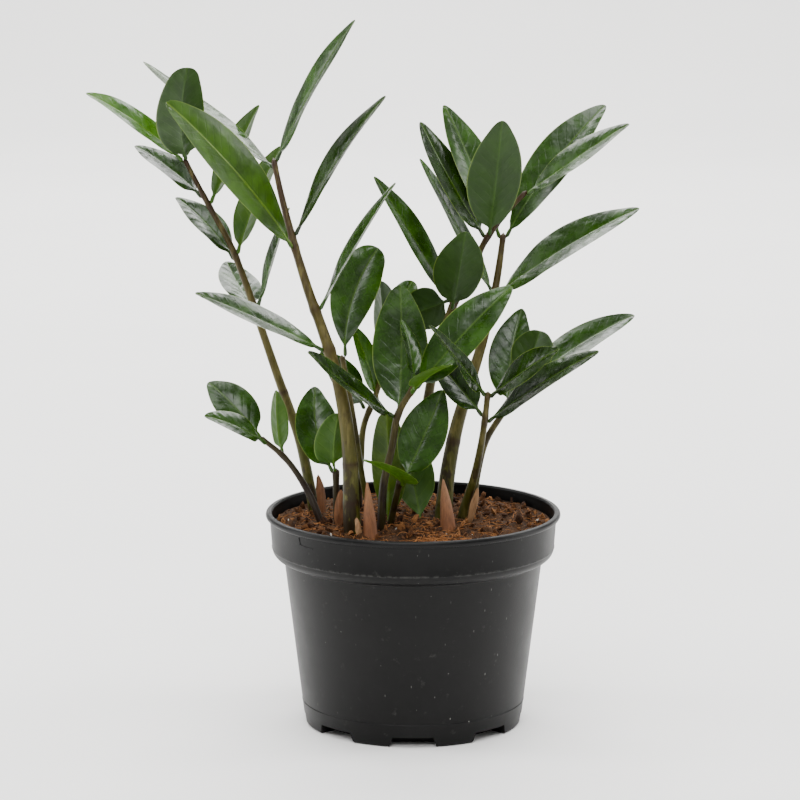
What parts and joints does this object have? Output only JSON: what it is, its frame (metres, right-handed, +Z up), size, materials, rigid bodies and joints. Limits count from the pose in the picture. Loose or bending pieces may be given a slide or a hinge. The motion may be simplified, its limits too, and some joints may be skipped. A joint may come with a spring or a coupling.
{
  "type": "potted zz plant",
  "caption": "Upright houseplant with glossy paired leaflets on thick arching stems, growing in coir in a round tapered nursery pot with a raised collar.",
  "frame": {"origin": "middle of the pot's flat underside, on the surface it stands on", "axes": "+Z up; -Y is the front, towards which the short front stem and the lowest front leaflets lean; +X is the viewer's right from the front"},
  "size_m": [0.3175, 0.1717, 0.407],
  "materials": {
    "pot_plastic": "satin moulded",
    "coir": "coarse fibrous",
    "rhizome": "smooth skin",
    "stem": "smooth, faintly mottled",
    "sheath": "dry papery",
    "leaf": "waxy gloss"
  },
  "bodies": {
    "root": {"pot": "pot_plastic", "coir": "coir", "rhizome": "rhizome", "stem_a": "stem", "leaflet_a1": "leaf", "leaflet_a2": "leaf", "leaflet_a3": "leaf", "leaflet_a4": "leaf", "leaflet_a5": "leaf", "leaflet_a6": "leaf", "leaflet_a7": "leaf", "leaflet_a8": "leaf", "stem_b": "stem", "leaflet_b1": "leaf", "leaflet_b2": "leaf", "leaflet_b3": "leaf", "leaflet_b4": "leaf", "leaflet_b5": "leaf", "leaflet_b6": "leaf", "stem_c": "stem", "leaflet_c1": "leaf", "stem_d": "stem", "leaflet_d1": "leaf", "leaflet_d2": "leaf", "leaflet_d3": "leaf", "leaflet_d4": "leaf", "stem_e": "stem", "leaflet_e1": "leaf", "stem_f": "stem", "leaflet_f1": "leaf", "leaflet_f2": "leaf", "leaflet_f3": "leaf", "leaflet_f4": "leaf", "leaflet_f5": "leaf", "stem_g": "stem", "leaflet_g1": "leaf", "leaflet_g2": "leaf", "leaflet_g3": "leaf", "leaflet_g4": "leaf", "stem_h": "stem", "leaflet_h1": "leaf", "leaflet_h2": "leaf", "stem_j": "stem", "leaflet_j1": "leaf", "leaflet_j2": "leaf", "leaflet_j3": "leaf", "leaflet_j4": "leaf", "stem_k": "stem", "leaflet_k1": "leaf", "leaflet_k2": "leaf", "stem_l": "stem", "leaflet_l1": "leaf", "leaflet_l2": "leaf", "leaflet_l3": "leaf", "stem_m": "stem", "leaflet_m1": "leaf", "leaflet_m2": "leaf", "shoot_left": "sheath", "shoot_right": "sheath", "ground_leaf": "leaf"}
  },
  "joints": []
}
